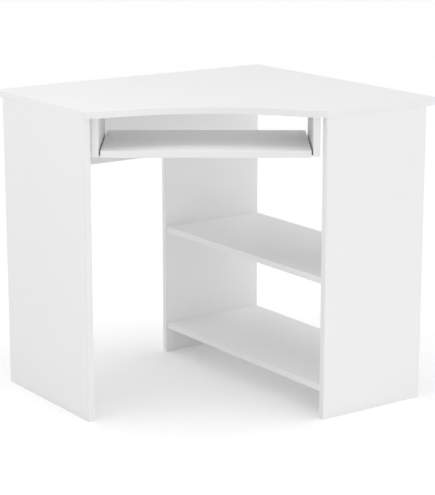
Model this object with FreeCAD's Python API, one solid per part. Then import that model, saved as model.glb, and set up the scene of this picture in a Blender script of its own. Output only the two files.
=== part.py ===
"""Corner desk in white-faced board, with a concave front edge, a shelf tower and a sliding
keyboard tray.

Frame: X to the right along the left-hand wall, Y to the back, Z up, millimetres.  The origin is on
the floor, at the middle of the desktop's bounding box.  The room's corner is at +X +Y.
Each sub-part is written to parts/ as one STEP file.
"""
import FreeCAD, Part
import math
import os

Vector = FreeCAD.Vector
X, Y, Z = Vector(1, 0, 0), Vector(0, 1, 0), Vector(0, 0, 1)

# ---- Whole desk --------------------------------------------------------------------------------
wall_run_x = 815.0          # desktop along the left-hand wall
wall_run_y = 740.0          # desktop along the right-hand wall
height = 750.0              # floor to top face
board = 16.0                # every board is this thick
edging = 1.0                # thickness of the glued edging strips

# ---- Desktop outline ---------------------------------------------------------------------------
left_end_depth = 432.0      # from the left-hand wall to the left front corner
right_end_depth = 345.0     # from the right-hand wall to the right front corner
front_land = 16.0           # straight length at each end of the front edge
front_hollow = 63.0         # how far the middle of the front edge is cut back
front_blend = 80.0          # radius that rounds a straight length into the hollow

# ---- Upright boards and shelves ----------------------------------------------------------------
top_overhang = 1.0          # desktop past the outer faces of the side panels
wall_gap = 42.0             # back edges stand this far off the walls, for skirting and cables
rail_height = 192.0
upper_shelf_top = 349.0     # top faces above the floor
lower_shelf_top = 83.0
shelf_setback = 3.0         # shelf front edges behind the panels' front edges

# ---- Hangers and keyboard tray -----------------------------------------------------------------
hanger_height = 93.0
hanger_depth = 262.0
hanger_setback = 14.0       # front of the hangers and tray behind the line of the front corners
hanger_inset = 16.0         # outer face of a hanger in from the front corner, along that line
tray_turn = 1.75            # degrees that hangers and tray are turned from square to that line
tray_drop = 79.0            # underside of the desktop to the top face of the tray
tray_depth = 288.0
tray_side_gap = 4.0         # between the tray's side and the hanger

# ---- Runner strips and the grooves they sit in -------------------------------------------------
runner_length = 120.0
runner_height = 9.0
runner_bite = 5.0           # how far a runner reaches into the tray's groove
groove_slack = 0.4          # above, below and past the end of the runner
groove_front = 10.0         # solid board left in front of the groove
groove_back = 8.0           # solid board left behind the groove
stop_gap = 0.5              # runner to the end of its groove with the tray pushed in
runner_screw_margin = 14.0  # end of a runner to its first screw
runner_screw_count = 3

# ---- Cam fittings, dowels, brackets and screws -------------------------------------------------
bore_slack = 0.1            # radial room round every fastener
cam_radius = 7.5
cam_reach = 34.0            # cam axis to the joint
cam_floor = 0.8             # cam metal under the bolt head
cam_channel = 3.7           # radius of the bolt channel in the cam
cam_socket_radius = 2.5     # driver socket in the cam's face
cam_socket_depth = 2.2
bolt_radius = 3.5
bolt_thread_radius = 3.0
bolt_thread_length = 11.0
bolt_neck_radius = 2.0
bolt_neck_length = 5.0
bolt_head_radius = 3.2
bolt_head_length = 3.0
cover_radius = 8.6
cover_rise = 1.2
cover_bevel = 0.8
dowel_radius = 4.0
dowel_in_face = 10.0        # part of a dowel that stands in a board's face
dowel_in_edge = 20.0        # part of a dowel that stands in a board's edge
dowel_chamfer = 1.0
fitting_margin = 55.0       # end of a joint to the first cam
dowel_offset = 32.0         # cam to the dowel beside it
rail_fitting_margin = 45.0  # top or bottom of the rail to its cams
bracket_leg = 20.0
bracket_width = 16.0
bracket_sheet = 1.5
bracket_margin = 60.0       # end of a hanger to the middle of a bracket
bracket_screw_out = 12.0    # bracket's corner to its screw
screw_radius = 1.75
screw_length = 12.0
screw_head_radius = 3.4
screw_head_rise = 2.0
runner_screw_radius = 1.5
runner_screw_length = 17.0
runner_screw_head_radius = 3.0

# ---- Lines and planes that several boards share ------------------------------------------------
x_wall, y_wall = wall_run_x / 2, wall_run_y / 2
x_left, y_right = -x_wall, -y_wall
top_under = height - board
left_inner = x_left + top_overhang + board        # inner face of the left side panel
right_inner = y_right + top_overhang + board      # inner face of the right side panel
x_back, y_back = x_wall - wall_gap, y_wall - wall_gap
tower_front = x_wall - right_end_depth            # front edges of the right and middle panels
middle_face = y_back - board                      # middle panel's and rail's face to the room
rail_bottom = top_under - rail_height

# ---- The line of the front corners -------------------------------------------------------------
left_front = Vector(x_left, y_wall - left_end_depth, 0)
right_front = Vector(x_wall - right_end_depth, y_right, 0)
chord = right_front.distanceToPoint(left_front)
along = (right_front - left_front).multiply(1 / chord)
inward = Vector(-along.y, along.x, 0)
chord_middle = (left_front + right_front).multiply(0.5)
front_angle = math.degrees(math.atan2(along.y, along.x))
front_place = FreeCAD.Placement(chord_middle, FreeCAD.Rotation(Z, front_angle))
tray_place = FreeCAD.Placement(chord_middle, FreeCAD.Rotation(Z, front_angle - tray_turn))

hanger_outer = chord / 2 - hanger_inset           # from the middle of that line
hanger_inner = hanger_outer - board
tray_half = hanger_inner - tray_side_gap
tray_top = top_under - tray_drop
runner_start = hanger_setback + groove_front + stop_gap
runner_middle = tray_top - board / 2              # height of the runners

bores = {}                                        # what is drilled out of each board
cams, bolts, covers, dowels = [], [], [], []


# ---- Small tools -------------------------------------------------------------------------------
def box(x0, x1, y0, y1, z0, z1):
    return Part.makeBox(x1 - x0, y1 - y0, z1 - z0, Vector(x0, y0, z0))


def turned(profile, start, direction):
    """Solid of revolution: profile points are (radius, distance along the axis)."""
    points = [Vector(radius, 0, distance) for radius, distance in profile]
    face = Part.Face(Part.makePolygon(points + points[:1]))
    solid = face.revolve(Vector(0, 0, 0), Z, 360)
    solid.Placement = FreeCAD.Placement(start, FreeCAD.Rotation(Z, direction))
    return solid


def rod(radius, length, start, direction):
    return Part.makeCylinder(radius, length, start, direction)


def at_tray(shape):
    """Carry a shape drawn square to the tray (X to the right, Y inward) to its place."""
    placed = shape.copy()
    placed.Placement = tray_place.multiply(placed.Placement)
    return placed


def drill(name, *solids):
    bores.setdefault(name, []).extend(solids)


def bored(name, solid):
    return solid.cut(bores[name]) if name in bores else solid


def save(name, *solids):
    shape = solids[0] if len(solids) == 1 else Part.makeCompound(list(solids))
    shape.exportStep("parts/" + name + ".step")


# ---- Desktop -----------------------------------------------------------------------------------
def circle_point(centre, radius, angle, side):
    return front_place.multVec(
        Vector(side * (centre[0] + radius * math.cos(angle)), centre[1] + radius * math.sin(angle), 0))


def front_edges(inset):
    """The desktop's front edge from left to right, moved into the board by inset."""
    blend_at = chord / 2 - front_land
    reach = (blend_at ** 2 + front_hollow ** 2) / (2 * front_hollow)
    hollow_radius = reach - front_blend
    hollow_centre = (0.0, front_hollow - hollow_radius)
    blend_centre = (blend_at, front_blend)
    lean = math.atan2(blend_centre[1] - hollow_centre[1], blend_centre[0])
    foot = 1.5 * math.pi
    bend = []
    for side in (-1, 1):
        angles = (lean + math.pi, (lean + math.pi + foot) / 2, foot)
        bend.append([circle_point(blend_centre, front_blend - inset, angle, side) for angle in angles])
    deepest = circle_point(hollow_centre, hollow_radius + inset, math.pi / 2, 1)
    base = chord_middle + inward * inset
    corner_left = base + along * ((x_left + inset - base.x) / along.x)
    corner_right = base + along * ((y_right + inset - base.y) / along.y)
    left, right = bend
    return [
        Part.LineSegment(corner_left, left[2]).toShape(),
        Part.Arc(left[2], left[1], left[0]).toShape(),
        Part.Arc(left[0], deepest, right[0]).toShape(),
        Part.Arc(right[0], right[1], right[2]).toShape(),
        Part.LineSegment(right[2], corner_right).toShape(),
    ], corner_left, corner_right


def rim_corners(inset):
    """The five corners, from the left front one round the walls to the right front one."""
    _, corner_left, corner_right = front_edges(inset)
    return [
        corner_left,
        Vector(x_left + inset, y_wall - inset, 0),
        Vector(x_wall - inset, y_wall - inset, 0),
        Vector(x_wall - inset, y_right + inset, 0),
        corner_right,
    ]


def slab(edges):
    solid = Part.Face(Part.Wire(edges)).extrude(Z * board)
    solid.translate(Z * top_under)
    return solid


def desktop():
    edges, _, _ = front_edges(edging)
    rim = Part.makePolygon(rim_corners(edging)).Edges
    return slab(Part.__sortEdges__(edges + rim))


def desktop_edging():
    """Four straight strips with mitred ends, and one that is bent along the front."""
    outer, inner = rim_corners(0), rim_corners(edging)
    strips = []
    for i in range(len(outer) - 1):
        corners = [outer[i], outer[i + 1], inner[i + 1], inner[i], outer[i]]
        strips.append(slab(Part.makePolygon(corners).Edges))
    outer_front, inner_front = front_edges(0)[0], front_edges(edging)[0]
    ends = [Part.LineSegment(inner[i], outer[i]).toShape() for i in (0, -1)]
    strips.append(slab(Part.__sortEdges__(outer_front + inner_front + ends)))
    return strips


# ---- Upright boards ----------------------------------------------------------------------------
def side_strips(x0, x1, y0, y1, z0, z1, sides):
    """Edging strips on the named sides of a board that fills the box."""
    strips = {
        "x0": (x0, x0 + edging, y0, y1, z0, z1),
        "x1": (x1 - edging, x1, y0, y1, z0, z1),
        "y0": (x0, x1, y0, y0 + edging, z0, z1),
        "y1": (x0, x1, y1 - edging, y1, z0, z1),
        "z0": (x0, x1, y0, y1, z0, z0 + edging),
    }
    return [box(*strips[side]) for side in sides]


def edged_board(x0, x1, y0, y1, z0, z1, sides):
    """A board and its edging strips, together as large as the box."""
    core = box(
        x0 + edging * ("x0" in sides), x1 - edging * ("x1" in sides),
        y0 + edging * ("y0" in sides), y1 - edging * ("y1" in sides),
        z0 + edging * ("z0" in sides), z1)
    strips = side_strips(x0, x1, y0, y1, z0, z1, sides)
    done = []
    for strip in strips:
        done.append(strip.cut(done) if done else strip)
    return core, done


def left_panel():
    x0 = x_left + top_overhang
    return edged_board(x0, left_inner, left_front.y, y_back, 0, top_under, ("y0", "y1"))


def right_panel():
    y0 = y_right + top_overhang
    return edged_board(tower_front, x_back, y0, right_inner, 0, top_under, ("x0", "x1"))


def middle_panel():
    return edged_board(tower_front, x_back, middle_face, y_back, 0, top_under, ("x0", "x1"))


def back_rail():
    return edged_board(left_inner, tower_front, middle_face, y_back, rail_bottom, top_under, ("z0",))


def shelf(top):
    x0 = tower_front + shelf_setback
    return edged_board(x0, x_back, right_inner, middle_face, top - board, top, ("x0", "x1"))


# ---- Hangers, tray and runners -----------------------------------------------------------------
def hanger(side):
    near, far = sorted((side * hanger_inner, side * hanger_outer))
    y0, y1 = hanger_setback, hanger_setback + hanger_depth
    core, strips = edged_board(near, far, y0, y1, top_under - hanger_height, top_under, ("y0", "y1", "z0"))
    return at_tray(core), [at_tray(strip) for strip in strips]


def tray():
    y0, y1 = hanger_setback, hanger_setback + tray_depth
    core, strips = edged_board(-tray_half, tray_half, y0, y1, tray_top - board, tray_top, ("y0", "y1"))
    half_groove = runner_height / 2 + groove_slack
    groove_depth = runner_bite + groove_slack
    for side in (-1, 1):
        near, far = sorted((side * tray_half, side * (tray_half - groove_depth)))
        core = core.cut(box(near, far, y0 + groove_front, y1 - groove_back,
                            runner_middle - half_groove, runner_middle + half_groove))
    return at_tray(core), [at_tray(strip) for strip in strips]


def runner_screw_places():
    span = runner_length - 2 * runner_screw_margin
    step = span / (runner_screw_count - 1)
    return [runner_start + runner_screw_margin + step * i for i in range(runner_screw_count)]


def runner(side):
    """Strip along a hanger, with countersunk holes, and its screws."""
    inner_face = tray_half - runner_bite
    near, far = sorted((side * inner_face, side * hanger_inner))
    half = runner_height / 2
    strip = box(near, far, runner_start, runner_start + runner_length, runner_middle - half, runner_middle + half)
    screws = []
    for y in runner_screw_places():
        head = Vector(side * inner_face, y, runner_middle)
        slope = runner_screw_head_radius - runner_screw_radius
        profile = [(0, 0), (runner_screw_head_radius, 0), (runner_screw_radius, slope),
                   (runner_screw_radius, runner_screw_length), (0, runner_screw_length)]
        hole = [(radius + bore_slack if radius else 0, distance) for radius, distance in profile]
        strip = strip.cut(turned(hole, head, X * side))
        screws.append(at_tray(turned(profile, head, X * side)))
        drill("left_hanger" if side < 0 else "right_hanger", at_tray(turned(hole, head, X * side)))
    return at_tray(strip), screws


# ---- Fittings ----------------------------------------------------------------------------------
def cam_joint(host, mate, joint, normal, toward):
    """Cam in the host's face (outward normal), its bolt crossing the joint into the mate."""
    face = joint - toward * cam_reach + normal * (board / 2)
    into = normal * -1
    cam_depth = board / 2 + cam_channel + cam_floor
    socket, floor = cam_socket_radius, cam_socket_depth
    body = turned([(0, floor), (socket, floor), (socket, 0), (cam_radius, 0), (cam_radius, cam_depth),
                   (0, cam_depth)], face, into)
    axis_start = joint - toward * (cam_reach + bolt_head_radius)
    cams.append(body.cut(rod(cam_channel, cam_radius * 2, axis_start, toward)))

    head_at = -cam_reach
    neck_at = head_at + bolt_head_length
    shank_at = neck_at + bolt_neck_length
    bolts.append(turned(
        [(0, head_at), (bolt_head_radius, head_at), (bolt_head_radius, neck_at), (bolt_neck_radius, neck_at),
         (bolt_neck_radius, shank_at), (bolt_radius, shank_at), (bolt_radius, 0), (bolt_thread_radius, 0),
         (bolt_thread_radius, bolt_thread_length), (0, bolt_thread_length)], joint, toward))

    spigot = socket - bore_slack
    covers.append(turned(
        [(0, floor - bore_slack), (spigot, floor - bore_slack), (spigot, 0), (cover_radius, 0),
         (cover_radius, cover_bevel - cover_rise), (cover_radius - cover_bevel, -cover_rise), (0, -cover_rise)],
        face, into))

    drill(host,
          rod(cam_radius + bore_slack, cam_depth + bore_slack, face, into),
          rod(bolt_radius + bore_slack, cam_reach, joint - toward * cam_reach, toward))
    drill(mate, rod(bolt_thread_radius + bore_slack, bolt_thread_length + bore_slack, joint, toward))


def dowel_joint(host, mate, joint, toward):
    """Dowel that stands in the host's edge and the mate's face."""
    tip = dowel_radius - dowel_chamfer
    start, end = -dowel_in_edge, dowel_in_face
    dowels.append(turned(
        [(0, start), (tip, start), (dowel_radius, start + dowel_chamfer), (dowel_radius, end - dowel_chamfer),
         (tip, end), (0, end)], joint, toward))
    radius = dowel_radius + bore_slack
    drill(host, rod(radius, dowel_in_edge + bore_slack, joint, toward * -1))
    drill(mate, rod(radius, dowel_in_face + bore_slack, joint, toward))


def panel_to_top(panel, start, end, mid, place, normal):
    """Two cams and two dowels between a panel's top edge and the desktop."""
    for cam_at, step in ((start + fitting_margin, 1), (end - fitting_margin, -1)):
        cam_joint(panel, "desktop", place(cam_at, mid), normal, Z)
        dowel_joint(panel, "desktop", place(cam_at + step * dowel_offset, mid), Z)


def fit_panels():
    half = board / 2
    panel_to_top("left_panel", left_front.y, y_back, left_inner - half,
                 lambda y, x: Vector(x, y, top_under), X)
    panel_to_top("right_panel", tower_front, x_back, right_inner - half,
                 lambda x, y: Vector(x, y, top_under), Y)
    panel_to_top("middle_panel", tower_front, x_back, y_back - half,
                 lambda x, y: Vector(x, y, top_under), Y)


def fit_rail():
    y = y_back - board / 2
    middle = (rail_bottom + top_under) / 2
    for x, toward, mate in ((left_inner, X * -1, "left_panel"), (tower_front, X, "middle_panel")):
        for z in (rail_bottom + rail_fitting_margin, top_under - rail_fitting_margin):
            cam_joint("back_rail", mate, Vector(x, y, z), Y, toward)
        dowel_joint("back_rail", mate, Vector(x, y, middle), toward)


def fit_shelf(name, top):
    z = top - board / 2
    front, back = tower_front + shelf_setback, x_back
    for y, toward, mate in ((right_inner, Y * -1, "right_panel"), (middle_face, Y, "middle_panel")):
        for x in (front + fitting_margin, back - fitting_margin):
            cam_joint(name, mate, Vector(x, y, z), Z * -1, toward)
        dowel_joint(name, mate, Vector((front + back) / 2, y, z), toward)


def bracket_places():
    first = hanger_setback + bracket_margin
    last = hanger_setback + hanger_depth - bracket_margin
    return [(side, y) for side in (-1, 1) for y in (first, last)]


def bracket(side, y):
    """Folded angle between a hanger's outer face and the desktop, with its two screws."""
    half = bracket_width / 2
    leg_x = sorted((side * hanger_outer, side * (hanger_outer + bracket_leg)))
    sheet_x = sorted((side * hanger_outer, side * (hanger_outer + bracket_sheet)))
    top = top_under
    angle = box(*leg_x, y - half, y + half, top - bracket_sheet, top)
    angle = angle.fuse(box(*sheet_x, y - half, y + half, top - bracket_leg, top)).removeSplitter()
    up_at = Vector(side * (hanger_outer + bracket_screw_out), y, top - bracket_sheet)
    in_at = Vector(side * (hanger_outer + bracket_sheet), y, top - bracket_screw_out)
    screws = []
    for start, direction, name in ((up_at, Z, "desktop"),
                                   (in_at, X * -side, "left_hanger" if side < 0 else "right_hanger")):
        profile = [(0, -screw_head_rise), (screw_head_radius / 2, -screw_head_rise),
                   (screw_head_radius, -screw_head_rise / 3), (screw_head_radius, 0), (screw_radius, 0),
                   (screw_radius, screw_length - screw_radius), (0, screw_length)]
        hole = rod(screw_radius + bore_slack, screw_length + bore_slack, start, direction)
        screws.append(at_tray(turned(profile, start, direction)))
        angle = angle.cut(hole)
        drill(name, at_tray(hole))
    return at_tray(angle), screws


# ---- Build and write ---------------------------------------------------------------------------
os.makedirs("parts", exist_ok=True)

fit_panels()
fit_rail()
fit_shelf("upper_shelf", upper_shelf_top)
fit_shelf("lower_shelf", lower_shelf_top)
brackets = [bracket(side, y) for side, y in bracket_places()]
runners = {side: runner(side) for side in (-1, 1)}

boards = {
    "left_panel": left_panel(),
    "right_panel": right_panel(),
    "middle_panel": middle_panel(),
    "back_rail": back_rail(),
    "upper_shelf": shelf(upper_shelf_top),
    "lower_shelf": shelf(lower_shelf_top),
    "left_hanger": hanger(-1),
    "right_hanger": hanger(1),
    "keyboard_tray": tray(),
}
for name, (core, strips) in boards.items():
    save(name, bored(name, core))
    save(name + "_edging", *[bored(name, strip) for strip in strips])

save("desktop", bored("desktop", desktop()))
save("desktop_edging", *desktop_edging())
save("left_runner", runners[-1][0])
save("right_runner", runners[1][0])
save("runner_screws", *(runners[-1][1] + runners[1][1]))
save("hanger_brackets", *[angle for angle, _ in brackets])
save("bracket_screws", *[screw for _, screws in brackets for screw in screws])
save("cam_housings", *cams)
save("cam_bolts", *bolts)
save("cam_covers", *covers)
save("dowels", *dowels)
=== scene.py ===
"""Corner desk in white-faced board: finishes, edging, fittings, floor, light and camera.

The sawn boards stay as packed and are given their finish.  The edging strips and the small
fittings are made again here with the rounded edges, folds and threads of the real ones.
Lengths are in metres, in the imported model's own frame.
"""
import math

import bmesh
import bpy
from mathutils import Matrix, Vector


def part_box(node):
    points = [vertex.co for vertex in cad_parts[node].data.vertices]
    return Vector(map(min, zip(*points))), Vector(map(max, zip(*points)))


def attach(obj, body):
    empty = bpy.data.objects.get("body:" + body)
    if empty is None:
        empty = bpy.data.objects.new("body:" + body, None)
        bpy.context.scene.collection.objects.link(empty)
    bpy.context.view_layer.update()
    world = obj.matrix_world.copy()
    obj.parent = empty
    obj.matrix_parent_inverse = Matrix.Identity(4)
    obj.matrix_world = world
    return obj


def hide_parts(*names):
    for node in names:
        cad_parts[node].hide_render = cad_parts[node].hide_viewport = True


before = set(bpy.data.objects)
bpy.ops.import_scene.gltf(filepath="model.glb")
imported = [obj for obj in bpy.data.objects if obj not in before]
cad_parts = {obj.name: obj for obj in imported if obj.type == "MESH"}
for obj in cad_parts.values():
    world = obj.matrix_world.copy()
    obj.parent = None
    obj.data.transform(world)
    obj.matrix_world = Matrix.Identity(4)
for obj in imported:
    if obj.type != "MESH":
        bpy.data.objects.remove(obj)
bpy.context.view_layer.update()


# ---- Side panels and middle panel --------------------------------------------------------------
# Three upright 16 mm chipboards with white melamine paper pressed on both faces, sawn square.
# The side panels carry the two ends of the desktop and the middle one closes the shelf tower.
# Their feet are bare sawn board, and gather a little dust and a few scuffs just above the floor.
class Value:
    """A number that changes over a surface.  Sums written with it become Math nodes."""

    def __init__(self, finish, socket):
        self.finish = finish
        self.socket = socket

    def sum(self, operation, *terms):
        return self.finish.node("Math", {"operation": operation}, dict(enumerate(terms)))

    def __add__(self, other):
        return self.sum("ADD", self, other)

    def __sub__(self, other):
        return self.sum("SUBTRACT", self, other)

    def __rsub__(self, other):
        return self.sum("SUBTRACT", other, self)

    def __mul__(self, other):
        return self.sum("MULTIPLY", self, other)

    def __gt__(self, other):
        return self.sum("GREATER_THAN", self, other)

    def __lt__(self, other):
        return self.sum("LESS_THAN", self, other)

    def __abs__(self):
        return self.sum("ABSOLUTE", self)

    __radd__ = __add__
    __rmul__ = __mul__


class Finish:
    """A material while it is being mixed."""

    def __init__(self, name):
        self.material = bpy.data.materials.new(name)
        self.material.use_nodes = True
        self.tree = self.material.node_tree
        self.tree.nodes.clear()

    def node(self, kind, settings=None, sockets=None, result=0):
        """Add a node: its settings first, then the values or links of its sockets."""
        made = self.tree.nodes.new("ShaderNode" + kind)
        for setting, value in (settings or {}).items():
            if setting == "stops":
                stops = made.color_ramp.elements
                while len(stops) < len(value):
                    stops.new(1.0)
                for stop, (position, colour) in zip(stops, value):
                    stop.position = position
                    stop.color = (*colour, 1.0)
            else:
                setattr(made, setting, value)
        for socket, value in (sockets or {}).items():
            if isinstance(value, Value):
                self.tree.links.new(value.socket, made.inputs[socket])
            else:
                made.inputs[socket].default_value = value
        return Value(self, made.outputs[result]) if made.outputs else None

    def place(self):
        return self.node("TexCoord", result="Object")

    def along(self, place, direction):
        """Distance of each point of the surface along a direction."""
        return self.node("VectorMath", {"operation": "DOT_PRODUCT"}, {0: place, 1: direction}, "Value")

    def stretched(self, place, factors):
        return self.node("VectorMath", {"operation": "MULTIPLY"}, {0: place, 1: factors}, "Vector")

    def noise(self, place, scale=1.0, detail=2.0, roughness=0.5):
        return self.node("TexNoise", None, {
            "Vector": place, "Scale": scale, "Detail": detail, "Roughness": roughness}, "Fac")

    def fade(self, value, start, end):
        """1 at the start, 0 at the end, and smooth between them."""
        return self.node("MapRange", {"interpolation_type": "SMOOTHSTEP"}, {
            "Value": value, "From Min": start, "From Max": end, "To Min": 1.0, "To Max": 0.0}, "Result")

    def mixed(self, mask, colour, other):
        """The first colour where the mask is 0 and the other where it is 1."""
        colours = [c if isinstance(c, Value) else (*c, 1.0) for c in (colour, other)]
        return self.node("Mix", {"data_type": "RGBA"}, {0: mask, 6: colours[0], 7: colours[1]}, 2)

    def surface(self, colour, roughness, height, **constants):
        """Close the material.  The height of the relief is in metres."""
        bump = self.node("Bump", None, {"Height": height, "Distance": 1.0}, "Normal")
        sockets = {"Base Color": colour, "Roughness": roughness, "Normal": bump, **constants}
        self.shown(self.node("BsdfPrincipled", None, sockets, "BSDF"))
        return self.material

    def shown(self, shader):
        self.node("OutputMaterial", None, {"Surface": shader})


paper_thickness = 0.0003
paper_roughness = 0.46
paper_reflection = 0.25
pearl_height = 0.000014
white_cool = (0.885, 0.887, 0.888)
white_warm = (0.915, 0.914, 0.909)
dust_from, dust_to = 0.001, 0.018
dust_cover = 0.16
floor_dust = (0.60, 0.585, 0.55)
chips_per_metre = 520.0
chip_height = 0.00030
packing_height = 0.00015
chip_gap = 0.035
gap_shade = (0.09, 0.055, 0.03)
sawn_roughness = 0.88
chip_shades = (
    (0.00, (0.270, 0.175, 0.095)),
    (0.35, (0.450, 0.325, 0.195)),
    (0.70, (0.590, 0.455, 0.300)),
    (1.00, (0.720, 0.590, 0.425)),
)


def faced_board(node, across, on_floor=False):
    """Melamine on the two faces square to `across`; sawn chipboard on edges and in bores."""
    reach = [point.co.dot(across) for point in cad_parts[node].data.vertices]
    middle = (min(reach) + max(reach)) / 2
    half = (max(reach) - min(reach)) / 2
    finish = Finish(node + "_melamine_and_chipboard")
    place = finish.place()
    faced = abs(finish.along(place, across) - middle) > half - paper_thickness

    cloud = finish.noise(place, scale=3.0, detail=3.0)
    fleck = finish.noise(place, scale=1400.0, detail=1.0)
    white = finish.mixed(cloud * 0.6 + fleck * 0.4, white_cool, white_warm)
    pearl = finish.noise(place, scale=900.0, roughness=0.6)
    smear = finish.noise(place, scale=14.0, detail=4.0, roughness=0.65)
    gloss = paper_roughness + smear * 0.10 + pearl * 0.06
    if on_floor:
        near_floor = finish.fade(finish.along(place, up_axis), dust_from, dust_to)
        scuffs = finish.noise(finish.stretched(place, (60.0, 60.0, 260.0)), detail=5.0, roughness=0.7)
        dust = near_floor * scuffs * dust_cover
        white = finish.mixed(dust, white, floor_dust)
        gloss = gloss + dust * 0.5

    cells = {"Vector": place, "Scale": chips_per_metre}
    chips = finish.node("TexVoronoi", None, cells, "Color")
    shade = finish.node("SeparateColor", None, {"Color": chips}, "Red")
    gaps = finish.node("TexVoronoi", {"feature": "DISTANCE_TO_EDGE"}, cells, "Distance")
    packed_chips = finish.noise(place, scale=130.0, detail=3.0)
    tone = shade * 0.7 + packed_chips * 0.3
    brown = finish.node("ValToRGB", {"stops": chip_shades}, {"Fac": tone}, "Color")
    brown = finish.mixed((gaps < chip_gap) * 0.6, brown, gap_shade)

    sawn = 1.0 - faced
    chipped = gaps * chip_height + packed_chips * packing_height
    relief = faced * pearl * pearl_height + sawn * chipped
    colour = finish.mixed(faced, brown, white)
    roughness = faced * gloss + sawn * sawn_roughness
    return finish.surface(colour, roughness, relief, **{"Specular IOR Level": paper_reflection})


side_axis, back_axis, up_axis = Vector((1, 0, 0)), Vector((0, 1, 0)), Vector((0, 0, 1))
for node, across in (("left_panel", side_axis), ("right_panel", back_axis), ("middle_panel", back_axis)):
    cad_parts[node].material_slots[0].material = faced_board(node, across, on_floor=True)


# ---- Edging on the panels ----------------------------------------------------------------------
# A 1 mm plastic strip is ironed on to the front and back edges of each panel with hot glue.
# It is trimmed flush, and its two long corners are rounded with a cutter and scraped smooth.
# The glue shows as a hairline, and the cutter leaves a faint ripple in the rounding.
edging = 0.001
edge_rounding = 0.0008
rounding_steps = 4
glue_line = 0.00014
cutter_ripple = 0.0024
ripple_height = 0.0000015
edging_cool = (0.870, 0.873, 0.877)
edging_warm = (0.900, 0.899, 0.894)
glue_colour = (0.43, 0.39, 0.32)


def edging_plastic():
    """Smooth extruded plastic.  "strip" holds the distance along, across and out of the board."""
    finish = Finish("edging_plastic")
    strip = finish.node("Attribute", {"attribute_name": "strip"}, None, "Vector")
    out = finish.along(strip, (0.0, 0.0, 1.0))
    run = finish.along(strip, (1.0, 0.0, 0.0))
    draw_lines = finish.noise(finish.stretched(strip, (5.0, 1900.0, 1900.0)), detail=3.0, roughness=0.6)
    cloud = finish.noise(finish.stretched(strip, (9.0, 60.0, 60.0)))
    colour = finish.mixed(cloud * 0.7 + draw_lines * 0.3, edging_cool, edging_warm)
    glue = finish.fade(out, glue_line * 0.6, glue_line * 1.4)
    glue = glue * (0.45 + 0.4 * finish.noise(finish.stretched(strip, (150.0, 1.0, 1.0)), detail=3.0))
    colour = finish.mixed(glue, colour, glue_colour)
    ripple = finish.node("Math", {"operation": "SINE"}, {0: run * (2 * math.pi / cutter_ripple)})
    rounded = finish.fade(out, edging, edging - edge_rounding * 0.5)
    relief = draw_lines * 0.000007 - glue * 0.00003 + (1.0 - rounded) * ripple * ripple_height
    return finish.surface(colour, 0.27 + draw_lines * 0.12 + glue * 0.3, relief, IOR=1.5)


def edging_section(width):
    """Outline of a strip as (across the board, out of the board), and the steps that stay crisp."""
    corner = edging - edge_rounding
    outline = [(0.0, 0.0), (width, 0.0)]
    for step in range(rounding_steps + 1):
        angle = step / rounding_steps * math.pi / 2
        offset = width - edge_rounding + edge_rounding * math.cos(angle)
        outline.append((offset, corner + edge_rounding * math.sin(angle)))
    for step in range(rounding_steps + 1):
        angle = math.pi / 2 - step / rounding_steps * math.pi / 2
        offset = edge_rounding - edge_rounding * math.cos(angle)
        outline.append((offset, corner + edge_rounding * math.sin(angle)))
    crisp = {0, 1, 2, 2 + rounding_steps, 3 + rounding_steps, 3 + 2 * rounding_steps}
    return outline, crisp


def add_strip(made, stations, across, width):
    """One length of edging along pairs of points: on the board's edge, and 1 mm out of it."""
    outline, crisp = edging_section(width)
    strip = made.loops.layers.float_vector.get("strip") or made.loops.layers.float_vector.new("strip")
    where = {}
    rings = []
    run = 0.0
    for index, (seat, outer) in enumerate(stations):
        run += (seat - stations[max(index - 1, 0)][0]).length
        ring = []
        for offset, out in outline:
            corner = made.verts.new(seat.lerp(outer, out / edging) + across * offset)
            where[corner] = (run, offset, out)
            ring.append(corner)
        rings.append(ring)
    faces = []
    count = len(outline)
    for first, second in zip(rings, rings[1:]):
        for index in range(count):
            following = (index + 1) % count
            corners = first[index], first[following], second[following], second[index]
            faces.append(made.faces.new(corners))
            faces[-1].smooth = True
            made.edges.get((first[index], second[index])).smooth = index not in crisp
    faces.append(made.faces.new(rings[0]))
    faces.append(made.faces.new(rings[-1]))
    for face in faces:
        for loop in face.loops:
            loop[strip] = where[loop.vert]


def straight(start, end, outward):
    """Stations of a square-ended strip between two points on a board's edge."""
    return [(point, point + outward * edging) for point in (start, end)]


def new_piece(name, made, material):
    """Close a piece's mesh and put it in the scene."""
    bmesh.ops.recalc_face_normals(made, faces=made.faces)
    mesh = bpy.data.meshes.new(name)
    made.to_mesh(mesh)
    made.free()
    mesh.materials.append(material)
    piece = bpy.data.objects.new(name, mesh)
    bpy.context.scene.collection.objects.link(piece)
    return piece


edging_finish = edging_plastic()
for node, across, outward in (
        ("left_panel", side_axis, back_axis),
        ("right_panel", back_axis, side_axis),
        ("middle_panel", back_axis, side_axis)):
    low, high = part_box(node)
    width = (high - low).dot(across)
    made = bmesh.new()
    for corner, direction in ((low, -outward), (high, outward)):
        foot = low + outward * (corner - low).dot(outward)
        add_strip(made, straight(foot, foot + up_axis * high.z, direction), across, width)
    strips = new_piece(node + "_edge_strips", made, edging_finish)
    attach(strips, "frame")
    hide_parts(node + "_edging")


# ---- Rail behind the knee space ----------------------------------------------------------------
# A faced board on edge between the left and middle panels, which keeps the desk square.
# Only its lower edge is free, so only that one has edging; its cams sit on the wall side.
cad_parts["back_rail"].material_slots[0].material = faced_board("back_rail", back_axis)
low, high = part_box("back_rail")
made = bmesh.new()
seats = Vector((low.x, low.y, low.z)), Vector((high.x, low.y, low.z))
add_strip(made, straight(*seats, -up_axis), back_axis, high.y - low.y)
rail_strip = new_piece("back_rail_edge_strip", made, edging_finish)
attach(rail_strip, "frame")
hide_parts("back_rail_edging")


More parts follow.
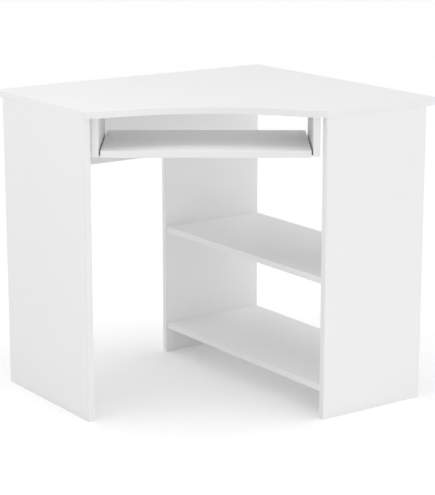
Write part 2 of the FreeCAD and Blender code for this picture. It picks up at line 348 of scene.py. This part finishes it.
# ---- Shelves of the tower ----------------------------------------------------------------------
# Two faced boards between the right and middle panels, edged at the front and at the wall side.
# Each hangs on four cams sunk in its underside, with a dowel between the two at each end.
for node in ("upper_shelf", "lower_shelf"):
    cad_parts[node].material_slots[0].material = faced_board(node, up_axis)
    low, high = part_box(node)
    made = bmesh.new()
    for x, direction in ((low.x, -side_axis), (high.x, side_axis)):
        seats = Vector((x, low.y, low.z)), Vector((x, high.y, low.z))
        add_strip(made, straight(*seats, direction), up_axis, high.z - low.z)
    strips = new_piece(node + "_edge_strips", made, edging_finish)
    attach(strips, "frame")
    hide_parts(node + "_edging")


# ---- Dowels ------------------------------------------------------------------------------------
# Fluted 8 mm beech pegs with pressed chamfers, glued beside the cams to hold each joint in line.
# The flutes let the glue rise; they are closed inside the boards once the desk is together.
dowel_flutes = 20
flute_depth = 0.00025
flute_steps = (0.0, 0.0, 0.0, 1.0, 1.0)
crisp_turn = math.radians(35)
beech_shades = ((0.0, (0.40, 0.235, 0.125)), (0.5, (0.56, 0.36, 0.20)), (1.0, (0.70, 0.50, 0.30)))


def solids_of(node, axes=Matrix.Identity(4)):
    """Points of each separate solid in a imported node, measured along the given axes."""
    joined = bmesh.new()
    joined.from_mesh(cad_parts[node].data)
    bmesh.ops.transform(joined, matrix=axes.inverted(), verts=joined.verts)
    bmesh.ops.remove_doubles(joined, verts=joined.verts, dist=0.000002)
    waiting = set(joined.verts)
    solids = []
    for first in joined.verts:
        if first not in waiting:
            continue
        waiting.discard(first)
        group = [first]
        for vertex in group:
            for edge in vertex.link_edges:
                neighbour = edge.other_vert(vertex)
                if neighbour in waiting:
                    waiting.discard(neighbour)
                    group.append(neighbour)
        solids.append([vertex.co.copy() for vertex in group])
    joined.free()
    return sorted(solids, key=lambda points: [round(c, 5) for c in sum(points, Vector()) / len(points)])


def corners_of(points):
    """Lowest and highest corners of the box round some points."""
    low = Vector([min(point[axis] for point in points) for axis in range(3)])
    high = Vector([max(point[axis] for point in points) for axis in range(3)])
    return low, high


def standing_at(place, direction):
    """Axes with their origin at a place and Z along a direction."""
    return Matrix.Translation(place) @ direction.to_track_quat("Z", "Y").to_matrix().to_4x4()


def turned(made, outline, placed, segments, flute=lambda segment: 0.0):
    """Turn an outline of (radius, height) round an axis; flat rings stay flat."""
    rings = []
    for radius, height in outline:
        if radius == 0.0:
            rings.append([made.verts.new(placed @ Vector((0.0, 0.0, height)))] * segments)
            continue
        ring = []
        for segment in range(segments):
            angle = 2 * math.pi * segment / segments
            cut = radius - flute(segment)
            spot = Vector((cut * math.cos(angle), cut * math.sin(angle), height))
            ring.append(made.verts.new(placed @ spot))
        rings.append(ring)
    faces = []
    for level, (first, second) in enumerate(zip(rings, rings[1:])):
        flat = abs(outline[level][1] - outline[level + 1][1]) < 1e-7
        for segment in range(segments):
            after = (segment + 1) % segments
            corners = (first[segment], first[after], second[after], second[segment])
            face = made.faces.new(list(dict.fromkeys(corners)))
            face.smooth = not flat
            faces.append(face)
    for face in faces:
        for edge in face.edges:
            if len(edge.link_faces) == 2 and edge.calc_face_angle(0.0) > crisp_turn:
                edge.smooth = False
    return faces


def beech():
    """Straight-grained wood.  "grain" holds the place in the dowel, with its length along Z."""
    finish = Finish("dowel_beech")
    grain = finish.node("Attribute", {"attribute_name": "grain"}, None, "Vector")
    fibres = finish.noise(finish.stretched(grain, (900.0, 900.0, 40.0)), detail=4.0, roughness=0.6)
    rays = finish.noise(finish.stretched(grain, (1600.0, 1600.0, 320.0)), detail=1.0) > 0.66
    tone = finish.node("ValToRGB", {"stops": beech_shades}, {"Fac": fibres}, "Color")
    colour = finish.mixed(rays * 0.5, tone, (0.34, 0.19, 0.10))
    return finish.surface(colour, 0.55 + fibres * 0.2, fibres * 0.00008, IOR=1.45)


made = bmesh.new()
grain = made.loops.layers.float_vector.new("grain")
for points in solids_of("dowels"):
    low, high = corners_of(points)
    size = high - low
    axis = max(range(3), key=lambda i: size[i])
    length = size[axis]
    radius = min(size) / 2
    chamfer = radius / 4
    tip = radius - chamfer
    direction = (side_axis, back_axis, up_axis)[axis]
    placed = standing_at((low + high) / 2 - direction * length / 2, direction)
    outline = [(0.0, 0.0), (tip, 0.0), (radius, chamfer)]
    outline += [(radius, length - chamfer), (tip, length), (0.0, length)]
    faces = turned(
        made, outline, placed, dowel_flutes * len(flute_steps),
        lambda segment: flute_depth * flute_steps[segment % len(flute_steps)])
    back = placed.inverted()
    for face in faces:
        for loop in face.loops:
            loop[grain] = back @ loop.vert.co
pegs = new_piece("fluted_dowels", made, beech())
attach(pegs, "frame")
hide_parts("dowels")


# ---- Cams, their bolts and their covers --------------------------------------------------------
# Die-cast zinc cams are sunk in the boards and pull in the heads of zinc-plated steel bolts.
# A moulded white cover, low and round-rimmed, is pressed into the driver socket of each cam.
cover_rise = 0.0012
cover_rim_rounding = 0.0008
cover_rim_steps = 5
cover_dish = 0.00025
cover_segments = 48
spigot_chamfer = 0.0003
cover_white = (0.875, 0.877, 0.879)
cover_shadow = (0.845, 0.845, 0.84)


def cast_zinc():
    finish = Finish("cast_zinc")
    place = finish.place()
    grain = finish.noise(place, scale=1300.0, detail=3.0, roughness=0.6)
    stain = finish.noise(place, scale=210.0, detail=3.0)
    colour = finish.mixed(stain * 0.8 + grain * 0.2, (0.42, 0.43, 0.44), (0.60, 0.61, 0.61))
    return finish.surface(colour, 0.38 + grain * 0.25, grain * 0.00003, Metallic=1.0)


def plated_steel():
    finish = Finish("zinc_plated_steel")
    place = finish.place()
    wash = finish.noise(place, scale=320.0, detail=3.0)
    scratch = finish.noise(finish.stretched(place, (400.0, 400.0, 5200.0)), roughness=0.7)
    colour = finish.mixed(wash, (0.56, 0.58, 0.62), (0.74, 0.74, 0.73))
    return finish.surface(colour, 0.24 + scratch * 0.18 + wash * 0.08, scratch * 0.000006, Metallic=1.0)


def cover_plastic():
    finish = Finish("cover_plastic")
    place = finish.place()
    spark_grain = finish.noise(place, scale=2600.0, roughness=0.6)
    flow = finish.noise(place, scale=90.0)
    colour = finish.mixed(flow * 0.7 + spark_grain * 0.3, cover_shadow, cover_white)
    return finish.surface(colour, 0.40 + spark_grain * 0.15, spark_grain * 0.000012, IOR=1.5)


def off_axis(point, centre, direction):
    """Distance of a point from the line through a centre."""
    arm = point - centre
    return (arm - direction * arm.dot(direction)).length


steel_finish = plated_steel()
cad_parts["cam_housings"].material_slots[0].material = cast_zinc()
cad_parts["cam_bolts"].material_slots[0].material = steel_finish

made = bmesh.new()
for points in solids_of("cam_covers"):
    low, high = corners_of(points)
    size = high - low
    axis = min(range(3), key=lambda i: size[i])
    direction = (side_axis, back_axis, up_axis)[axis]
    middle = (low + high) / 2
    radius = max(size) / 2
    rim = [p for p in points if off_axis(p, middle, direction) > radius * 0.9]
    if sum((p - middle).dot(direction) for p in rim) < 0:
        direction = -direction
    thickness = size[axis]
    face_at = middle + direction * (thickness / 2 - cover_rise)
    sunk = [p for p in points if (p - face_at).dot(direction) < -cover_rise]
    spigot = max(off_axis(p, face_at, direction) for p in sunk)
    outline = [(0.0, cover_rise - thickness), (spigot - spigot_chamfer, cover_rise - thickness)]
    outline += [(spigot, cover_rise - thickness + spigot_chamfer), (spigot, 0.0), (radius, 0.0)]
    for step in range(cover_rim_steps + 1):
        angle = step / cover_rim_steps * math.pi / 2
        outline.append((
            radius - cover_rim_rounding + cover_rim_rounding * math.cos(angle),
            cover_rise - cover_rim_rounding + cover_rim_rounding * math.sin(angle)))
    outline += [(radius * 0.70, cover_rise), (radius * 0.64, cover_rise - cover_dish * 0.6)]
    outline += [(radius * 0.55, cover_rise - cover_dish), (0.0, cover_rise - cover_dish)]
    turned(made, outline, standing_at(face_at, direction), cover_segments)
caps = new_piece("pressed_in_cam_covers", made, cover_plastic())
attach(caps, "frame")
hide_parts("cam_covers")


# ---- Desktop -----------------------------------------------------------------------------------
# A faced board sawn to four straight sides and one hollow front, where the sitter draws up.
# Four strips are mitred round the straight sides, and a fifth is warmed and bent along the front.
front_land = 0.016
front_hollow = 0.063
front_blend = 0.080
left_end_depth = 0.432
right_end_depth = 0.345

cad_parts["desktop"].material_slots[0].material = faced_board("desktop", up_axis)
low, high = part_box("desktop_edging")
core_low, core_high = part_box("desktop")
left_front = Vector((low.x, high.y - left_end_depth, low.z))
right_front = Vector((high.x - right_end_depth, low.y, low.z))
front_middle = (left_front + right_front) / 2
front_along = (right_front - left_front).normalized()
front_inward = Vector((-front_along.y, front_along.x, 0.0))
blend_at = (right_front - left_front).length / 2 - front_land
hollow_radius = (blend_at ** 2 + front_hollow ** 2) / (2 * front_hollow) - front_blend
hollow_centre = front_middle + front_inward * (front_hollow - hollow_radius)
lean = math.atan2(front_blend - front_hollow + hollow_radius, blend_at)
touch_at = hollow_radius * math.cos(lean)


def front_outward(point):
    """Direction out of the board at a point of its front edge."""
    across_front = (point - front_middle).dot(front_along)
    if abs(across_front) >= blend_at:
        return -front_inward
    if abs(across_front) >= touch_at:
        side = math.copysign(1.0, across_front)
        blend_centre = front_middle + front_along * side * blend_at + front_inward * front_blend
        return (point - blend_centre).normalized()
    return (hollow_centre - point).normalized()


seats = {tuple(round(c, 6) for c in v.co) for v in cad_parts["desktop"].data.vertices}
seats = [Vector(s) for s in seats if abs(s[2] - core_high.z) < 1e-5]
seats = [Vector((s.x, s.y, low.z)) for s in seats]
wall_seats = [s for s in seats if (s - front_middle).dot(front_inward) > front_hollow + 0.01]
front_seats = sorted((s for s in seats if s not in wall_seats), key=lambda s: s.dot(front_along))
front_stations = [(s, s + front_outward(s) * edging) for s in front_seats]
front_stations[0] = (front_seats[0], left_front)
front_stations[-1] = (front_seats[-1], right_front)

rim = [
    (front_seats[0], left_front),
    (Vector((core_low.x, core_high.y, low.z)), Vector((low.x, high.y, low.z))),
    (Vector((core_high.x, core_high.y, low.z)), Vector((high.x, high.y, low.z))),
    (Vector((core_high.x, core_low.y, low.z)), Vector((high.x, low.y, low.z))),
    (front_seats[-1], right_front),
]
made = bmesh.new()
for first, second in zip(rim, rim[1:]):
    add_strip(made, [first, second], up_axis, high.z - low.z)
add_strip(made, front_stations, up_axis, high.z - low.z)
desktop_strips = new_piece("desktop_edge_strips", made, edging_finish)
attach(desktop_strips, "frame")
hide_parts("desktop_edging")


# ---- Hangers of the keyboard tray --------------------------------------------------------------
# Two short faced boards that hang square to the tray from the underside of the desktop.
# Their front, back and lower edges are edged; two folded steel angles hold each from outside.
tray_turn = math.radians(1.75)
tray_across = Matrix.Rotation(-tray_turn, 3, "Z") @ front_along
tray_inward = Matrix.Rotation(-tray_turn, 3, "Z") @ front_inward
tray_axes = Matrix.Translation((front_middle.x, front_middle.y, 0.0)) @ Matrix((
    (tray_across.x, tray_inward.x, 0.0, 0.0),
    (tray_across.y, tray_inward.y, 0.0, 0.0),
    (0.0, 0.0, 1.0, 0.0),
    (0.0, 0.0, 0.0, 1.0)))


def carried_to_tray(made):
    """Set mesh work done square to the tray in its place on the desk."""
    bmesh.ops.transform(made, matrix=tray_axes, verts=made.verts)


def square_to_tray(node):
    """Lowest and highest corners of a node, measured along the tray's axes."""
    return corners_of([point for solid in solids_of(node, tray_axes) for point in solid])


for node in ("left_hanger", "right_hanger"):
    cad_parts[node].material_slots[0].material = faced_board(node, tray_across)
    low, high = square_to_tray(node)
    width = high.x - low.x
    made = bmesh.new()
    for y, direction in ((low.y, -back_axis), (high.y, back_axis)):
        foot = Vector((low.x, y, low.z - edging))
        add_strip(made, straight(foot, Vector((low.x, y, high.z)), direction), side_axis, width)
    under = straight(low, Vector((low.x, high.y, low.z)), -up_axis)
    add_strip(made, under, side_axis, width)
    carried_to_tray(made)
    strips = new_piece(node + "_edge_strips", made, edging_finish)
    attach(strips, "frame")
    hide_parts(node + "_edging")


# ---- Steel angles that hold the hangers --------------------------------------------------------
# Each is a 16 mm strip of 1.5 mm sheet, folded square, with rounded corners and zinc plating.
# One screw goes up into the desktop and one across into the hanger.
sheet = 0.0015
fold_inside = 0.0005
fold_steps = 6
tip_rounding = 0.003
sheared_edge = 0.00015


def soften(made, edges, size, segments):
    """Cut edges back: one segment gives a chamfer, more give a rounding."""
    bmesh.ops.bevel(
        made, geom=edges, offset=size, offset_type="OFFSET", segments=segments, profile=0.5,
        affect="EDGES")


def smooth_under(made, degrees):
    """Shade a mesh smooth, with a crisp line where it turns by more than an angle."""
    for face in made.faces:
        face.smooth = True
    for edge in made.edges:
        edge.smooth = edge.calc_face_angle(0.0) < math.radians(degrees)


def folded_angle(made, low, high, side):
    """An angle with one leg under the desktop and one down the hanger's outer face."""
    fold = fold_inside + sheet
    leg = high.z - low.z
    outline = [(leg, 0.0)]
    for step in range(fold_steps + 1):
        angle = step / fold_steps * math.pi / 2
        outline.append((fold - fold * math.sin(angle), fold - fold * math.cos(angle)))
    outline += [(0.0, leg), (sheet, leg)]
    for step in range(fold_steps + 1):
        angle = math.pi / 2 - step / fold_steps * math.pi / 2
        outline.append((fold - fold_inside * math.sin(angle), fold - fold_inside * math.cos(angle)))
    outline.append((leg, sheet))
    hanger_face = low.x if side > 0 else high.x
    ends = []
    for y in (low.y, high.y):
        spots = [(hanger_face + side * out, y, high.z - down) for out, down in outline]
        ends.append([made.verts.new(spot) for spot in spots])
    count = len(outline)
    faces = [made.faces.new(end) for end in ends]
    for index in range(count):
        following = (index + 1) % count
        corners = ends[0][index], ends[0][following], ends[1][following], ends[1][index]
        faces.append(made.faces.new(corners))
    bmesh.ops.recalc_face_normals(made, faces=faces)
    tips = []
    for face in faces[:2]:
        for edge in face.edges:
            reaches = [(abs(v.co.x - hanger_face), high.z - v.co.z) for v in edge.verts]
            if all(abs(out - leg) < 1e-6 or abs(down - leg) < 1e-6 for out, down in reaches):
                tips.append(edge)
    soften(made, tips, tip_rounding, 5)


made = bmesh.new()
for points in solids_of("hanger_brackets", tray_axes):
    low, high = corners_of(points)
    folded_angle(made, low, high, math.copysign(1.0, low.x))
sheared = [edge for edge in made.edges if edge.calc_face_angle(0.0) > math.radians(60)]
soften(made, sheared, sheared_edge, 1)
smooth_under(made, 20)
carried_to_tray(made)
angles = new_piece("folded_hanger_angles", made, steel_finish)
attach(angles, "frame")
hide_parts("hanger_brackets")


# ---- Screws of the steel angles ----------------------------------------------------------------
# Pan-head chipboard screws in zinc-plated steel, with a cross recess and a coarse cut thread.
screw_thread_pitch = 0.0016
screw_thread_depth = 0.0004
recess_reach = 0.0019
recess_width = 0.0008
recess_depth = 0.0013
recess_overrun = 0.0005
recess_mouth, recess_floor = 1.12, 0.45
neck_length = 0.0008
thread_segments = 20
rings_per_thread = 5
head_steps = 6


def cut_away(made, cutter):
    """The solid `made` with the solid `cutter` taken out of it."""
    objects = []
    for solid in (made, cutter):
        bmesh.ops.recalc_face_normals(solid, faces=solid.faces)
        mesh = bpy.data.meshes.new("blank")
        solid.to_mesh(mesh)
        solid.free()
        objects.append(bpy.data.objects.new("blank", mesh))
        bpy.context.scene.collection.objects.link(objects[-1])
    cut = objects[0].modifiers.new("cut", "BOOLEAN")
    cut.operation = "DIFFERENCE"
    cut.solver = "EXACT"
    cut.object = objects[1]
    result = bmesh.new()
    result.from_object(objects[0], bpy.context.evaluated_depsgraph_get())
    for blank in objects:
        bpy.data.meshes.remove(blank.data)
    return result


def cross_cutter(at, depth):
    """A cross that narrows as it goes in; +Z is into the head from `at`."""
    cutter = bmesh.new()
    rings = []
    for level, scale in ((-recess_overrun, recess_mouth), (depth, recess_floor)):
        arm, half = recess_reach * scale, recess_width / 2 * (0.6 + 0.4 * scale)
        ring = [(half, half), (half, arm), (-half, arm), (-half, half), (-arm, half), (-arm, -half)]
        ring += [(-x, -y) for x, y in ring]
        rings.append([cutter.verts.new((x, y, at + level)) for x, y in ring])
    count = len(rings[0])
    for index in range(count):
        following = (index + 1) % count
        cutter.faces.new((rings[0][index], rings[0][following], rings[1][following], rings[1][index]))
    for ring in rings:
        cutter.faces.new(ring)
    return cutter


def screw_blank(head, radius, length, point):
    """A screw along +Z from its head's outline, with a cut thread and a cone at its end."""
    made = bmesh.new()
    root = radius - screw_thread_depth
    start = head[-1][1]
    steps = int((length - start) / (screw_thread_pitch / rings_per_thread))
    rings = [[made.verts.new((0.0, 0.0, head[0][1]))]]
    for ring_radius, height in head[1:]:
        rings.append([(ring_radius, height)] * thread_segments)
    for step in range(1, steps + 1):
        height = start + (length - start) * step / steps
        narrowing = min(1.0, (length - height) / point)
        ring = []
        for segment in range(thread_segments):
            turn = (height / screw_thread_pitch - segment / thread_segments) % 1.0
            threaded = height - start > screw_thread_pitch
            crest = max(0.0, 1.0 - abs(turn - 0.5) * 4) if threaded else 0.0
            ring.append((max(0.0001, (root + screw_thread_depth * crest) * narrowing), height))
        rings.append(ring)
    for index, ring in enumerate(rings[1:], 1):
        rings[index] = []
        for segment, (out, height) in enumerate(ring):
            angle = 2 * math.pi * segment / thread_segments
            spot = out * math.cos(angle), out * math.sin(angle), height
            rings[index].append(made.verts.new(spot))
    for first, second in zip(rings, rings[1:]):
        for segment in range(thread_segments):
            after = (segment + 1) % thread_segments
            if len(first) == 1:
                made.faces.new((first[0], second[after], second[segment]))
            else:
                made.faces.new((first[segment], first[after], second[after], second[segment]))
    made.faces.new(rings[-1])
    return made


def screws_at(made, blank, places):
    """Copies of a screw, each with its own turn of the recess."""
    for index, (at, direction) in enumerate(places):
        placed = standing_at(at, direction) @ Matrix.Rotation(math.radians(37 * index), 4, "Z")
        copy = bpy.data.meshes.new("copy")
        blank.to_mesh(copy)
        copy.transform(placed)
        made.from_mesh(copy)
        bpy.data.meshes.remove(copy)
    smooth_under(made, 32)


def pan_head(radius, neck, rise):
    """Outline of a domed head that stands `rise` above its seat, as (radius, height)."""
    outline = [(0.0, -rise)]
    for step in range(1, head_steps + 1):
        angle = step / head_steps * math.pi / 2
        outline.append((radius * math.sin(angle), -rise * (0.25 + 0.75 * math.cos(angle))))
    return outline + [(radius * 0.97, 0.0), (neck, 0.0), (neck, neck_length)]


head_radius, head_rise = 0.0034, 0.0020
shank_radius, screw_length, point_length = 0.00175, 0.012, 0.003
head = pan_head(head_radius, shank_radius - screw_thread_depth, head_rise)
blank = screw_blank(head, shank_radius, screw_length, point_length)
blank = cut_away(blank, cross_cutter(-head_rise, recess_depth))
places = []
for points in solids_of("bracket_screws", tray_axes):
    low, high = corners_of(points)
    middle = (low + high) / 2
    if high.z - low.z > high.x - low.x:
        places.append((Vector((middle.x, middle.y, low.z + head_rise)), up_axis))
    else:
        side = math.copysign(1.0, middle.x)
        outer = high.x if side > 0 else low.x
        places.append((Vector((outer - side * head_rise, middle.y, middle.z)), -side * side_axis))
made = bmesh.new()
screws_at(made, blank, places)
blank.free()
carried_to_tray(made)
angle_screws = new_piece("pan_head_screws", made, steel_finish)
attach(angle_screws, "frame")
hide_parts("bracket_screws")


# ---- Runner strips -----------------------------------------------------------------------------
# Dark moulded strips screwed to the hangers' inner faces; the tray's grooves slide along them.
# The ends are rounded to lead into the groove, and the screw heads are sunk below the surface.
runner_end_rounding = 0.0022
runner_edge_rounding = 0.0005
sink_radius = 0.0031
sink_neck = 0.0016
sink_slope = sink_radius - sink_neck
sink_overrun = 0.001
sink_segments = 32
runner_dark = (0.150, 0.152, 0.156)
runner_worn = (0.225, 0.228, 0.232)


def runner_plastic():
    finish = Finish("runner_plastic")
    place = finish.place()
    spark_grain = finish.noise(place, scale=1900.0, roughness=0.6)
    rubbed = finish.noise(finish.stretched(place, (30.0, 30.0, 1500.0)), detail=3.0, roughness=0.65)
    colour = finish.mixed(rubbed * 0.8 + spark_grain * 0.2, runner_dark, runner_worn)
    roughness = 0.34 + spark_grain * 0.2 + rubbed * 0.08
    return finish.surface(colour, roughness, spark_grain * 0.00002, IOR=1.5)


def runner_strip(low, high):
    """A strip with rounded ends and softened long edges."""
    made = bmesh.new()
    corners = bmesh.ops.create_cube(made, size=1.0)["verts"]
    for vertex in corners:
        vertex.co = Vector([low[i] if vertex.co[i] < 0 else high[i] for i in range(3)])
    end_edges = []
    for edge in made.edges:
        first, second = (vertex.co for vertex in edge.verts)
        if abs(first.y - second.y) < 1e-9 and abs(first.z - second.z) < 1e-9:
            end_edges.append(edge)
    soften(made, end_edges, runner_end_rounding, 6)
    long_edges = [edge for edge in made.edges if edge.calc_face_angle(0.0) > math.radians(60)]
    soften(made, long_edges, runner_edge_rounding, 3)
    return made


runner_finish = runner_plastic()
runner_screw_solids = solids_of("runner_screws", tray_axes)
for node, side in (("left_runner", -1.0), ("right_runner", 1.0)):
    low, high = square_to_tray(node)
    made = runner_strip(low, high)
    groove_face = low.x if side > 0 else high.x
    sinks = bmesh.new()
    for points in runner_screw_solids:
        first, last = corners_of(points)
        middle = (first + last) / 2
        if middle.x * side < 0:
            continue
        placed = standing_at(Vector((groove_face, middle.y, middle.z)), side * side_axis)
        deep = high.x - low.x + sink_overrun
        outline = [(0.0, -sink_overrun), (sink_radius, -sink_overrun), (sink_radius, 0.0)]
        outline += [(sink_neck, sink_slope), (sink_neck, deep), (0.0, deep)]
        turned(sinks, outline, placed, sink_segments)
    made = cut_away(made, sinks)
    smooth_under(made, 25)
    carried_to_tray(made)
    moulded = new_piece(node + "_moulded_strip", made, runner_finish)
    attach(moulded, "frame")
    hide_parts(node)


# ---- Screws of the runner strips ---------------------------------------------------------------
# Countersunk chipboard screws, three to a strip, sunk flush so that the tray clears them.
sunk_head_radius, sunk_shank_radius = 0.0030, 0.0015
sunk_length, sunk_point_length = 0.017, 0.004
sunk_neck = sunk_shank_radius - screw_thread_depth
sunk_slope = sunk_head_radius - sunk_shank_radius + screw_thread_depth
head = [(0.0, 0.0), (sunk_head_radius * 0.6, 0.0), (sunk_head_radius, 0.0)]
head += [(sunk_neck, sunk_slope), (sunk_neck, sunk_slope + neck_length)]
blank = screw_blank(head, sunk_shank_radius, sunk_length, sunk_point_length)
blank = cut_away(blank, cross_cutter(0.0, recess_depth))
places = []
for points in runner_screw_solids:
    low, high = corners_of(points)
    side = math.copysign(1.0, low.x)
    head_at = low.x if side > 0 else high.x
    places.append((Vector((head_at, (low.y + high.y) / 2, (low.z + high.z) / 2)), side * side_axis))
made = bmesh.new()
screws_at(made, blank, places)
blank.free()
carried_to_tray(made)
runner_screws = new_piece("countersunk_screws", made, steel_finish)
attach(runner_screws, "frame")
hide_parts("runner_screws")


# ---- Keyboard tray -----------------------------------------------------------------------------
# A faced board that slides out from under the desktop on a groove sawn in each of its sides.
# Front and back edges are edged; the sides and grooves are left as bare sawn chipboard.
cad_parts["keyboard_tray"].material_slots[0].material = faced_board("keyboard_tray", up_axis)
low, high = square_to_tray("keyboard_tray")
made = bmesh.new()
for y, direction in ((low.y, -back_axis), (high.y, back_axis)):
    seats = Vector((low.x, y, low.z)), Vector((high.x, y, low.z))
    add_strip(made, straight(*seats, direction), up_axis, high.z - low.z)
carried_to_tray(made)
tray_strips = new_piece("keyboard_tray_edge_strips", made, edging_finish)
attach(tray_strips, "tray")
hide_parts("keyboard_tray_edging")


# ---- Floor -------------------------------------------------------------------------------------
# A plain pale studio floor, slightly matt, that reaches well past the desk on every side.
# It is clear from below, so that the desk's underside can be looked at through it.
floor_radii = (0.6, 1.5, 4.0, 12.0, 60.0)
floor_segments = 64
floor_roughness = 0.85
floor_glow = 0.125


def ring_round_desk(made, radius, height):
    """Points of a level circle with the desk at its middle."""
    angles = [2 * math.pi * segment / floor_segments for segment in range(floor_segments)]
    return [made.verts.new((radius * math.cos(a), radius * math.sin(a), height)) for a in angles]


made = bmesh.new()
rings = [[made.verts.new((0.0, 0.0, 0.0))]]
for radius in floor_radii:
    rings.append(ring_round_desk(made, radius, 0.0))
for first, second in zip(rings, rings[1:]):
    for segment in range(floor_segments):
        after = (segment + 1) % floor_segments
        if len(first) == 1:
            made.faces.new((first[0], second[segment], second[after]))
        else:
            made.faces.new((first[segment], second[segment], second[after], first[after]))
finish = Finish("studio_floor")
place = finish.place()
cloud = finish.noise(place, scale=2.0, detail=3.0)
paint = finish.mixed(cloud, (0.925, 0.925, 0.925), (0.94, 0.94, 0.94))
upper = finish.node("BsdfPrincipled", None, {
    "Base Color": paint, "Roughness": floor_roughness,
    "Emission Color": (1.0, 1.0, 1.0, 1.0), "Emission Strength": floor_glow}, "BSDF")
clear = finish.node("BsdfTransparent", None, None, "BSDF")
from_below = finish.node("NewGeometry", None, None, "Backfacing")
finish.shown(finish.node("MixShader", None, {0: from_below, 1: upper, 2: clear}, "Shader"))
floor = new_piece("studio_floor", made, finish.material)


# ---- Light -------------------------------------------------------------------------------------
# A dim even studio: wide soft lamps far off light the floor alike, a nearer one stands on the left,
# and a weak one is fixed under the desktop, where only its light on the tray shows.
# A white backdrop closes the room for the camera only, and neither lights nor shades the desk.
lamp_width = math.radians(75)
lamp_distance = 4.0
room_light = 0.32
lamps = (
    ("lamp_above", (0.0, 0.0, 1.0), 1.31),
    ("lamp_before", (-0.55, -0.75, 0.35), 0.10),
    ("lamp_far_left", (-0.42, 0.85, 0.40), 0.48),
    ("lamp_far_right", (0.85, -0.42, 0.40), 0.80),
    ("lamp_right", (0.25, -0.95, 0.20), 0.44),
)
near_place, near_aim = Vector((-1.5, -0.25, 1.9)), Vector((0.0, 0.0, 0.5))
near_size, near_power = 1.4, 6.0
fill_width, fill_depth, fill_power = 0.46, 0.22, 0.038
fill_inward, fill_drop = 0.19, 0.002
backdrop_radius = 70.0
backdrop_glow = 1.1
backdrop_lowest, backdrop_quarter = -4, 12
studio = bpy.data.worlds.new("studio")
studio.use_nodes = True
studio.node_tree.nodes["Background"].inputs["Color"].default_value = (1.0, 1.0, 1.0, 1.0)
studio.node_tree.nodes["Background"].inputs["Strength"].default_value = room_light
bpy.context.scene.world = studio
for name, direction, strength in lamps:
    lamp = bpy.data.lights.new(name, "SUN")
    lamp.angle = lamp_width
    lamp.energy = strength
    holder = bpy.data.objects.new(name, lamp)
    holder.location = Vector(direction) * lamp_distance
    holder.rotation_mode = "QUATERNION"
    holder.rotation_quaternion = Vector(direction).to_track_quat("Z", "Y")
    bpy.context.scene.collection.objects.link(holder)

near = bpy.data.lights.new("lamp_near_left", "AREA")
near.shape = "RECTANGLE"
near.size = near_size
near.size_y = near_size
near.energy = near_power
near_holder = bpy.data.objects.new("lamp_near_left", near)
near_holder.location = near_place
near_holder.rotation_mode = "QUATERNION"
near_holder.rotation_quaternion = (near_place - near_aim).to_track_quat("Z", "Y")
near_holder.visible_camera = False
bpy.context.scene.collection.objects.link(near_holder)

fill = bpy.data.lights.new("lamp_over_tray", "AREA")
fill.shape = "RECTANGLE"
fill.size = fill_width
fill.size_y = fill_depth
fill.energy = fill_power
fill_holder = bpy.data.objects.new("lamp_over_tray", fill)
fill_at = Matrix.Translation((0.0, fill_inward, core_low.z - fill_drop))
fill_holder.matrix_world = tray_axes @ fill_at
fill_holder.visible_camera = False
fill_holder.visible_glossy = False
bpy.context.scene.collection.objects.link(fill_holder)

made = bmesh.new()
rings = []
for level in range(backdrop_lowest, backdrop_quarter):
    climb = math.pi / 2 * level / backdrop_quarter
    radius = backdrop_radius * math.cos(climb)
    rings.append(ring_round_desk(made, radius, backdrop_radius * math.sin(climb)))
for first, second in zip(rings, rings[1:]):
    for segment in range(floor_segments):
        after = (segment + 1) % floor_segments
        made.faces.new((first[segment], first[after], second[after], second[segment]))
made.faces.new(rings[-1])
finish = Finish("backdrop_white")
glow = {"Color": (1.0, 1.0, 1.0, 1.0), "Strength": backdrop_glow}
finish.shown(finish.node("Emission", None, glow, "Emission"))
backdrop = new_piece("backdrop", made, finish.material)
backdrop.visible_diffuse = False
backdrop.visible_glossy = False
backdrop.visible_transmission = False
backdrop.visible_volume_scatter = False
backdrop.visible_shadow = False
bpy.context.scene.view_settings.view_transform = "Standard"


# ---- Camera ------------------------------------------------------------------------------------
# Standing height, in front of the hollow, a little nearer the right wall than the left.
picture_height = 495.0
focal_length = 1752.5
camera = bpy.data.cameras.new("camera")
camera.sensor_width = 36.0
camera.lens = focal_length * camera.sensor_width / picture_height
camera.clip_end = 100.0
camera_holder = bpy.data.objects.new("camera", camera)
heading, tilt = 0.9584, 0.2376
level = math.cos(tilt)
gaze = Vector((math.cos(heading) * level, math.sin(heading) * level, -math.sin(tilt)))
camera_holder.location = (-2.4412, -3.4920, 1.3936)
camera_holder.rotation_mode = "QUATERNION"
camera_holder.rotation_quaternion = gaze.to_track_quat("-Z", "Y")
bpy.context.scene.collection.objects.link(camera_holder)
bpy.context.scene.camera = camera_holder
